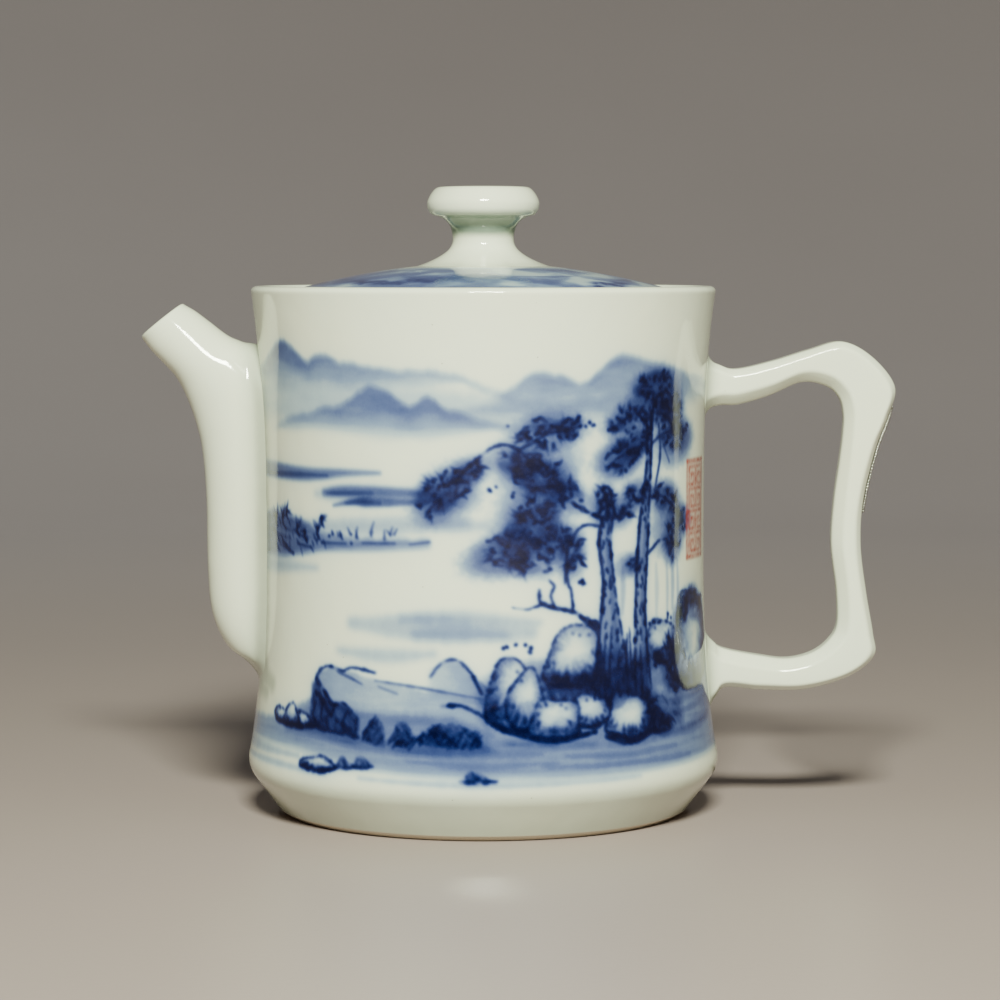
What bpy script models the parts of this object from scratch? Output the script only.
"""Porcelain teapot with a waisted, mug-shaped body, a spout luted flat along the wall, a bevelled
loop handle and an inset domed lid.

Profiles are written in millimetres from the pot's own axis and turned into metres as they are built.
The model stands on z = 0 with the middle of its overall box at the origin, so the pot's axis lies a
little to the spout's side. +X points to the handle, -X to the spout.
"""
import math

import bmesh
import bpy
from mathutils import Vector

MM = 0.001
GAP = 0.3                   # between neighbouring pieces

# Overall reach from the pot's axis
SPOUT_REACH = 60.2
HANDLE_REACH = 72.7
POT_AXIS_X = (SPOUT_REACH - HANDLE_REACH) / 2

# Body: waisted wall, rounded shoulder, straight chamfer down to the foot ring
WALL = 2.8
WAIST_Z, WAIST_R = 52.0, 39.05
LIP_Z, LIP_R = 92.9, 41.0
LIP_ROUND = 0.8
LIP_INNER_R = 38.3
SHOULDER_Z, SHOULDER_ROUND = 9.6, 5.0
SHOULDER_R = 41.7
CHAMFER_ANGLE = math.radians(36.6)
SHOULDER_TOP_ANGLE = math.radians(16.3)
FOOT_OUTER_R, FOOT_INNER_R = 35.2, 31.5
FOOT_ROUND = 0.5
BASE_Z = 3.0                # underside of the floor, inside the foot ring
FLOOR_Z = 6.0
FLOOR_FILLET = 7.0

# Gallery: the ledge inside the lip that carries the lid
LEDGE_Z = 89.3
NECK_R = 33.5
NECK_Z = 86.0
GALLERY_FOOT_Z = 81.5

# Outlet behind the spout, and the pierced dome over it
OUTLET_Z, OUTLET_R = 38.0, 7.0
DOME_R, DOME_DEPTH, DOME_WALL = 9.6, 8.0, 1.6
STRAINER_HOLE_R = 1.1
STRAINER_RINGS = ((1, 0.0), (6, 3.4), (11, 6.2))

# Spout: each station is (outer x, outer z, inner x, inner z, half width)
SPOUT_STATIONS = (
    (-38.0, 21.5, -30.0, 20.0, 3.0),
    (-42.0, 26.4, -30.5, 23.5, 6.6),
    (-45.6, 29.3, -30.8, 27.5, 7.6),
    (-48.1, 34.8, -31.0, 34.0, 8.0),
    (-48.9, 42.6, -31.0, 42.6, 8.0),
    (-49.1, 55.0, -31.0, 56.0, 7.9),
    (-49.7, 63.2, -31.5, 67.0, 7.7),
    (-50.8, 68.5, -34.0, 76.5, 7.3),
    (-52.5, 73.3, -40.5, 82.0, 6.8),
    (-54.3, 76.7, -44.9, 84.0, 6.2),
    (-56.5, 79.2, -48.4, 86.6, 5.5),
    (-58.6, 81.4, -50.8, 88.4, 4.9),
    (-SPOUT_REACH, 83.5, -52.7, 89.5, 4.4),
)
SPOUT_WALL_FOOT, SPOUT_WALL_MOUTH = 2.4, 1.1
SPOUT_FLOOR_STATION = 2     # the channel starts at this station
MOUTH_OVERRUN = 3.0

# Handle: each station is (outer x, outer z, inner x, inner z)
HANDLE_STATIONS = (
    (35.0, 81.8, 35.0, 69.2),
    (41.2, 79.2, 41.0, 71.7),
    (44.6, 78.3, 45.0, 72.0),
    (51.0, 79.7, 50.5, 73.6),
    (57.5, 81.7, 56.0, 75.9),
    (63.3, 83.1, 60.4, 75.3),
    (68.6, 80.4, 62.8, 73.2),
    (HANDLE_REACH - 0.1, 75.2, 63.6, 70.2),
    (71.5, 70.0, 63.5, 66.8),
    (69.3, 64.2, 63.0, 62.4),
    (67.2, 55.1, 62.0, 54.8),
    (66.8, 47.2, 61.6, 47.2),
    (67.8, 39.0, 62.6, 39.0),
    (69.1, 31.5, 62.7, 33.0),
    (69.3, 27.4, 61.2, 30.1),
    (64.9, 23.8, 58.2, 27.9),
    (57.0, 21.5, 53.9, 26.9),
    (49.0, 21.4, 49.2, 27.4),
    (42.9, 21.8, 42.6, 28.7),
    (40.6, 19.6, 40.2, 30.4),
    (35.0, 16.5, 35.0, 33.6),
)
HANDLE_HALF_WIDTH = 4.0
OUTER_BEVEL_DEPTH, OUTER_BEVEL_WIDTH = 1.1, 1.7
INNER_BEVEL_DEPTH, INNER_BEVEL_WIDTH = 2.0, 2.2

# Silver strip on the outer face of the grip, measured along the handle's stations
STRIP_START, STRIP_END = 7.7, 10.3
STRIP_THICKNESS = 0.6
STRIP_HALF_WIDTH = 1.9
STRIP_STEPS = 10

# Lid, with heights from the ledge that it rests on
LID_R = 36.0
LID_EDGE = 1.9
LID_CROWN = 7.7             # top of the dome at the axis
LID_WALL = 2.8
FLANGE_OUTER_R, FLANGE_INNER_R, FLANGE_DEPTH = 32.6, 30.2, 8.8
VENT_R, VENT_AT = 1.0, 20.0
KNOB_TOP = 21.1
KNOB_PROFILE = (            # (radius, height above the ledge), from the top down to the foot
    (7.2, 21.1), (8.3, 20.8), (9.2, 19.8), (9.8, 18.6), (9.9, 17.7), (9.65, 16.8), (9.0, 16.1),
    (7.7, 15.65), (6.8, 15.2), (6.0, 14.3), (5.6, 13.2), (5.4, 12.0), (5.5, 11.0), (6.0, 10.1),
    (6.9, 9.3), (8.2, 8.5), (9.6, 7.95),
)
KNOB_FOOT_R = 10.4

BODY_SEGMENTS = 60
LID_SEGMENTS = 48
KNOB_SEGMENTS = 32
SPOUT_SIDES = 16


def clear_scene():
    for old in list(bpy.data.objects):
        bpy.data.objects.remove(old, do_unlink=True)


def make_material(name, colour, roughness, metallic=0.0):
    material = bpy.data.materials.new(name)
    material.use_nodes = True
    shader = material.node_tree.nodes["Principled BSDF"]
    shader.inputs["Base Color"].default_value = (*colour, 1.0)
    shader.inputs["Roughness"].default_value = roughness
    shader.inputs["Metallic"].default_value = metallic
    return material


def finish(name, mesh_builder, parent, material, sharp_angle=35.0):
    """Turn a bmesh into a named, smooth-shaded object under its parent."""
    bmesh.ops.recalc_face_normals(mesh_builder, faces=mesh_builder.faces)
    mesh = bpy.data.meshes.new(name)
    mesh_builder.to_mesh(mesh)
    mesh_builder.free()
    mesh.shade_smooth()
    mesh.set_sharp_from_angle(angle=math.radians(sharp_angle))
    piece = bpy.data.objects.new(name, mesh)
    bpy.context.scene.collection.objects.link(piece)
    piece.parent = parent
    if material:
        mesh.materials.append(material)
    return piece


def turned(name, profile, segments, parent, material=None):
    """Spin a profile of (radius, height) points about Z. Ends off the axis are joined up."""
    builder = bmesh.new()
    points = [builder.verts.new((r * MM, 0.0, z * MM)) for r, z in profile]
    edges = [builder.edges.new(pair) for pair in zip(points, points[1:])]
    if profile[0][0] > 0.0:
        edges.append(builder.edges.new((points[-1], points[0])))
    bmesh.ops.spin(builder, geom=points + edges, cent=(0, 0, 0), axis=(0, 0, 1),
                   angle=2 * math.pi, steps=segments, use_merge=True)
    bmesh.ops.remove_doubles(builder, verts=builder.verts, dist=0.000002)
    return finish(name, builder, parent, material)


def lofted(name, rings, parent, material=None, sharp_angle=35.0):
    """Skin a list of equal rings of (x, y, z) points in millimetres, and cap both ends."""
    builder = bmesh.new()
    loops = [[builder.verts.new(Vector(point) * MM) for point in ring] for ring in rings]
    count = len(loops[0])
    for lower, upper in zip(loops, loops[1:]):
        for i in range(count):
            j = (i + 1) % count
            builder.faces.new((lower[i], lower[j], upper[j], upper[i]))
    builder.faces.new(loops[0])
    builder.faces.new(loops[-1])
    bmesh.ops.triangulate(builder, faces=builder.faces)
    return finish(name, builder, parent, material, sharp_angle)


def cut(piece, cutter):
    """Cut one piece with another that is only a tool."""
    cutter.hide_render = True
    cutter.display_type = "WIRE"
    boolean = piece.modifiers.new("cut_" + cutter.name, "BOOLEAN")
    boolean.operation = "DIFFERENCE"
    boolean.object = cutter


def arc(centre, radius, start, end, steps):
    """Points on an arc of the (radius, height) plane."""
    angles = [start + (end - start) * i / steps for i in range(steps + 1)]
    return [(centre[0] + radius * math.cos(a), centre[1] + radius * math.sin(a)) for a in angles]


def spline(stations, at):
    """Smooth reading between stations: a Catmull-Rom curve through them."""
    first = min(int(at), len(stations) - 2)
    t = at - first
    before = stations[max(first - 1, 0)]
    start, end = stations[first], stations[first + 1]
    after = stations[min(first + 2, len(stations) - 1)]
    return [b + 0.5 * t * (c - a + t * (2 * a - 5 * b + 4 * c - d + t * (3 * (b - c) + d - a)))
            for a, b, c, d in zip(before, start, end, after)]


def wall_radius(z):
    """Outer radius of the waisted wall at a height."""
    if z >= WAIST_Z:
        rise = (z - WAIST_Z) / (LIP_Z - LIP_ROUND - WAIST_Z)
        return WAIST_R + (LIP_R - WAIST_R) * rise ** 3.2
    top = SHOULDER_Z + SHOULDER_ROUND * math.sin(SHOULDER_TOP_ANGLE)
    spread = SHOULDER_R - SHOULDER_ROUND * (1 - math.cos(SHOULDER_TOP_ANGLE)) - WAIST_R
    return WAIST_R + spread * ((WAIST_Z - z) / (WAIST_Z - top)) ** 3


def wall_points(low, high, steps, offset):
    heights = [low + (high - low) * i / steps for i in range(steps + 1)]
    return [(wall_radius(z) + offset, z) for z in heights]


def make_pot_body(parent, glaze):
    """Wall, floor, foot ring and gallery in one piece, with the outlet behind the spout."""
    shoulder = (SHOULDER_R - SHOULDER_ROUND, SHOULDER_Z)
    shoulder_top = SHOULDER_Z + SHOULDER_ROUND * math.sin(SHOULDER_TOP_ANGLE)
    inner_wall_foot = FLOOR_Z + FLOOR_FILLET
    inner_r = wall_radius(inner_wall_foot) - WALL
    chamfer_x = shoulder[0] + SHOULDER_ROUND * math.cos(CHAMFER_ANGLE)
    chamfer_z = shoulder[1] - SHOULDER_ROUND * math.sin(CHAMFER_ANGLE)
    chamfer_end = chamfer_x - (chamfer_z - FOOT_ROUND) * math.tan(CHAMFER_ANGLE)

    profile = [(0.0, FLOOR_Z)]
    profile += arc((inner_r - FLOOR_FILLET, inner_wall_foot), FLOOR_FILLET, -math.pi / 2, 0.0, 4)
    profile += wall_points(inner_wall_foot, GALLERY_FOOT_Z, 6, -WALL)[1:]
    profile += [(NECK_R, NECK_Z), (NECK_R, LEDGE_Z - 0.3), (NECK_R + 0.3, LEDGE_Z)]
    profile += [(LIP_INNER_R - 0.3, LEDGE_Z), (LIP_INNER_R, LEDGE_Z + 0.3)]
    lip_low = LIP_Z - LIP_ROUND
    profile += arc((LIP_INNER_R + LIP_ROUND, lip_low), LIP_ROUND, math.pi, math.pi / 2, 2)
    profile += arc((LIP_R - LIP_ROUND, lip_low), LIP_ROUND, math.pi / 2, 0.0, 2)
    profile += wall_points(lip_low, shoulder_top, 11, 0.0)[1:]
    profile += arc(shoulder, SHOULDER_ROUND, SHOULDER_TOP_ANGLE, -CHAMFER_ANGLE, 5)[1:]
    profile += [(chamfer_end, FOOT_ROUND), (FOOT_OUTER_R, 0.0), (FOOT_INNER_R, 0.0)]
    profile += [(FOOT_INNER_R - 1.0, FOOT_ROUND), (FOOT_INNER_R - 1.6, BASE_Z), (0.0, BASE_Z)]
    body = turned("pot_body", profile, BODY_SEGMENTS, parent, glaze)

    outlet = bmesh.new()
    bmesh.ops.create_cone(outlet, cap_ends=True, segments=20, radius1=OUTLET_R * MM,
                          radius2=OUTLET_R * MM, depth=2 * OUTLET_R * MM)
    outlet = finish("outlet_cutter", outlet, parent, None)
    outlet.rotation_euler = (0.0, math.pi / 2, 0.0)
    outlet.location = (-WAIST_R * MM, 0.0, OUTLET_Z * MM)
    cut(body, outlet)
    return body


def make_wall_cutter(parent):
    """The body's outer shape plus the gap, which trims the roots of spout and handle."""
    profile = [(0.0, 12.0)] + wall_points(12.0, 91.0, 20, GAP) + [(0.0, 91.0)]
    return turned("wall_cutter", profile, BODY_SEGMENTS, parent)


def spout_ring(at, inset):
    """An oval ring at a station of the spout, drawn in from its outer skin by the inset."""
    outer_x, outer_z, inner_x, inner_z, half_width = spline(SPOUT_STATIONS, at)
    centre = ((outer_x + inner_x) / 2, (outer_z + inner_z) / 2)
    half_depth = math.hypot(outer_x - inner_x, outer_z - inner_z) / 2
    along = ((outer_x - centre[0]) / half_depth, (outer_z - centre[1]) / half_depth)
    ring = []
    for i in range(SPOUT_SIDES):
        turn = 2 * math.pi * i / SPOUT_SIDES
        reach = (half_depth - inset) * math.cos(turn)
        side = (half_width - inset) * math.sin(turn)
        ring.append((centre[0] + along[0] * reach, side, centre[1] + along[1] * reach))
    return ring


def make_spout(parent, wall_cutter, glaze):
    """A hollow spout whose lower stretch is a channel open towards the pot's wall."""
    last = len(SPOUT_STATIONS) - 1
    rings = [spout_ring(i / 2, 0.0) for i in range(2 * last + 1)]
    spout = lofted("spout", rings, parent, glaze, 50.0)

    bore = []
    for i in range(2 * SPOUT_FLOOR_STATION, 2 * last + 1):
        share = (i / 2 - SPOUT_FLOOR_STATION) / (last - SPOUT_FLOOR_STATION)
        bore.append(spout_ring(i / 2, SPOUT_WALL_FOOT + (SPOUT_WALL_MOUTH - SPOUT_WALL_FOOT) * share))
    tip, before_tip = (sum((Vector(p) for p in ring), Vector()) / SPOUT_SIDES for ring in bore[:-3:-1])
    overrun = (tip - before_tip).normalized() * MOUTH_OVERRUN
    bore.append([Vector(point) + overrun for point in bore[-1]])
    cut(spout, lofted("spout_bore_cutter", bore, parent))
    cut(spout, wall_cutter)
    return spout


def make_strainer(parent, glaze):
    """A pierced dome luted over the outlet on the inside of the wall."""
    inner_wall = WAIST_R - WALL
    shell = []
    for depth, radius in ((DOME_DEPTH, DOME_R), (DOME_DEPTH - DOME_WALL, DOME_R - DOME_WALL)):
        shell.append([(radius * math.cos(a), depth * math.sin(a))
                      for a in (math.radians(90.0 * i / 7) for i in range(8))])
    skirt = 2.5
    profile = list(reversed(shell[0])) + [(DOME_R, -skirt), (DOME_R - DOME_WALL, -skirt)] + shell[1]
    profile[0] = (0.0, DOME_DEPTH)
    profile[-1] = (0.0, DOME_DEPTH - DOME_WALL)
    strainer = turned("strainer", profile, 28, parent, glaze)
    strainer.rotation_euler = (0.0, math.pi / 2, 0.0)
    strainer.location = (-(inner_wall - 1.0) * MM, 0.0, OUTLET_Z * MM)

    outside = [(wall_radius(z) - WALL - GAP, z) for z in (22.0, 30.0, 38.0, 46.0, 54.0)]
    ring = outside + [(WAIST_R + 6.0, 54.0), (WAIST_R + 6.0, 22.0)]
    cut(strainer, turned("inner_wall_cutter", ring, BODY_SEGMENTS, parent))

    drill = bmesh.new()
    for count, radius in STRAINER_RINGS:
        for i in range(count):
            turn = 2 * math.pi * i / count
            place = Vector((0.0, radius * math.cos(turn) * MM, radius * math.sin(turn) * MM))
            cone = bmesh.ops.create_cone(drill, cap_ends=True, segments=8, depth=14 * MM,
                                         radius1=STRAINER_HOLE_R * MM, radius2=STRAINER_HOLE_R * MM)
            turn_to_x = Vector((0.0, 0.0, 1.0)).rotation_difference(Vector((1.0, 0.0, 0.0)))
            bmesh.ops.rotate(drill, verts=cone["verts"], matrix=turn_to_x.to_matrix())
            bmesh.ops.translate(drill, verts=cone["verts"], vec=place)
    drill = finish("strainer_drill", drill, parent, None)
    drill.location = (-(inner_wall - 5.0) * MM, 0.0, OUTLET_Z * MM)
    cut(strainer, drill)
    return strainer


def handle_frame(at):
    """Middle, outward direction and half depth of the handle at a station."""
    outer_x, outer_z, inner_x, inner_z = spline(HANDLE_STATIONS, at)
    middle = Vector(((outer_x + inner_x) / 2, 0.0, (outer_z + inner_z) / 2))
    outward = Vector((outer_x, 0.0, outer_z)) - middle
    return middle, outward.normalized(), outward.length


def handle_ring(at):
    """An eight-sided section: flat cheeks, a small bevel outside and a wide one inside."""
    middle, outward, half = handle_frame(at)
    width = HANDLE_HALF_WIDTH
    corners = (
        (half, width - OUTER_BEVEL_WIDTH), (half - OUTER_BEVEL_DEPTH, width),
        (INNER_BEVEL_DEPTH - half, width), (-half, width - INNER_BEVEL_WIDTH),
    )
    side = [(out, y) for out, y in corners] + [(out, -y) for out, y in reversed(corners)]
    return [(middle.x + outward.x * out, y, middle.z + outward.z * out) for out, y in side]


def make_handle(parent, wall_cutter, glaze):
    last = len(HANDLE_STATIONS) - 1
    rings = [handle_ring(i / 2) for i in range(2 * last + 1)]
    handle = lofted("handle", rings, parent, glaze, 30.0)
    cut(handle, wall_cutter)
    return handle


def make_strip(parent, silver):
    """A slim leaf-shaped strip that follows the outer face of the grip."""
    rings = []
    for i in range(STRIP_STEPS + 1):
        share = i / STRIP_STEPS
        middle, outward, half = handle_frame(STRIP_START + (STRIP_END - STRIP_START) * share)
        swell = math.sin(math.pi * share) ** 0.6
        width = STRIP_HALF_WIDTH * (0.15 + 0.85 * swell)
        edge = GAP + 0.5 * STRIP_THICKNESS
        top = edge + 0.5 * STRIP_THICKNESS * swell + 0.02
        side = ((GAP, width), (edge, width), (top, 0.6 * width),
                (top, -0.6 * width), (edge, -width), (GAP, -width))
        rings.append([(middle.x + outward.x * (half + out), y, middle.z + outward.z * (half + out))
                      for out, y in side])
    return lofted("handle_ornament", rings, parent, silver)


def dome_height(radius):
    """Top of the lid above the ledge: a shallow dome that turns down to the rolled edge."""
    share = min(radius / LID_R, 1.0)
    edge = GAP + LID_EDGE
    return edge + (LID_CROWN - edge) * (1 - share ** 1.9)


def make_lid_disc(parent, glaze):
    radii = [(LID_R - 0.5) * i / 9 for i in range(10)]
    top = [(r, dome_height(r)) for r in radii]
    edge = [(LID_R, dome_height(LID_R) - 0.3), (LID_R, GAP + 0.4), (LID_R - 0.4, GAP)]
    under_r = FLANGE_INNER_R - 1.4
    under = [(r, dome_height(r) - LID_WALL) for r in (24.0, 16.0, 8.0, 0.0)]
    disc = turned("lid_disc", top + edge + [(under_r, GAP)] + under, LID_SEGMENTS, parent, glaze)

    vent = bmesh.new()
    bmesh.ops.create_cone(vent, cap_ends=True, segments=12, radius1=VENT_R * MM,
                          radius2=VENT_R * MM, depth=20 * MM)
    vent = finish("vent_cutter", vent, parent, None)
    vent.location = (0.0, VENT_AT * MM, dome_height(VENT_AT) * MM)
    cut(disc, vent)
    return disc


def make_lid_flange(parent, glaze):
    """The collar under the lid that keeps it centred in the neck."""
    bottom = -FLANGE_DEPTH
    profile = [
        (FLANGE_OUTER_R, 0.0), (FLANGE_OUTER_R, bottom + 0.8), (FLANGE_OUTER_R - 0.6, bottom),
        (FLANGE_INNER_R + 0.6, bottom), (FLANGE_INNER_R, bottom + 0.8), (FLANGE_INNER_R, 0.0),
    ]
    return turned("lid_flange", profile, LID_SEGMENTS, parent, glaze)


def make_lid_knob(parent, glaze):
    """A button knob on a waisted neck, with a foot that follows the dome."""
    foot = [(r, dome_height(r) + GAP) for r in (KNOB_FOOT_R, 7.0, 3.5, 0.0)]
    profile = [(0.0, KNOB_TOP)] + list(KNOB_PROFILE) + [(KNOB_FOOT_R, dome_height(KNOB_FOOT_R) + 0.65)]
    return turned("lid_knob", profile + foot, KNOB_SEGMENTS, parent, glaze)


def make_empty(name, location, parent=None):
    empty = bpy.data.objects.new(name, None)
    bpy.context.scene.collection.objects.link(empty)
    empty.location = location
    empty.parent = parent
    return empty


def main():
    clear_scene()
    glaze = {name: make_material(name + "_glaze", colour, 0.12) for name, colour in (
        ("pot_body", (0.66, 0.70, 0.65)), ("spout", (0.64, 0.68, 0.62)),
        ("strainer", (0.62, 0.66, 0.60)), ("handle", (0.64, 0.68, 0.62)),
        ("lid_disc", (0.60, 0.67, 0.66)), ("lid_flange", (0.64, 0.67, 0.60)),
        ("lid_knob", (0.64, 0.68, 0.62)),
    )}
    silver = make_material("granulated_silver", (0.42, 0.43, 0.43), 0.38, 1.0)

    pot = make_empty("pot_axis", (POT_AXIS_X * MM, 0.0, 0.0))
    lid = make_empty("lid_axis", (0.0, 0.0, LEDGE_Z * MM), pot)
    wall_cutter = make_wall_cutter(pot)

    make_pot_body(pot, glaze["pot_body"])
    make_spout(pot, wall_cutter, glaze["spout"])
    make_strainer(pot, glaze["strainer"])
    make_handle(pot, wall_cutter, glaze["handle"])
    make_strip(pot, silver)
    make_lid_disc(lid, glaze["lid_disc"])
    make_lid_flange(lid, glaze["lid_flange"])
    make_lid_knob(lid, glaze["lid_knob"])


main()
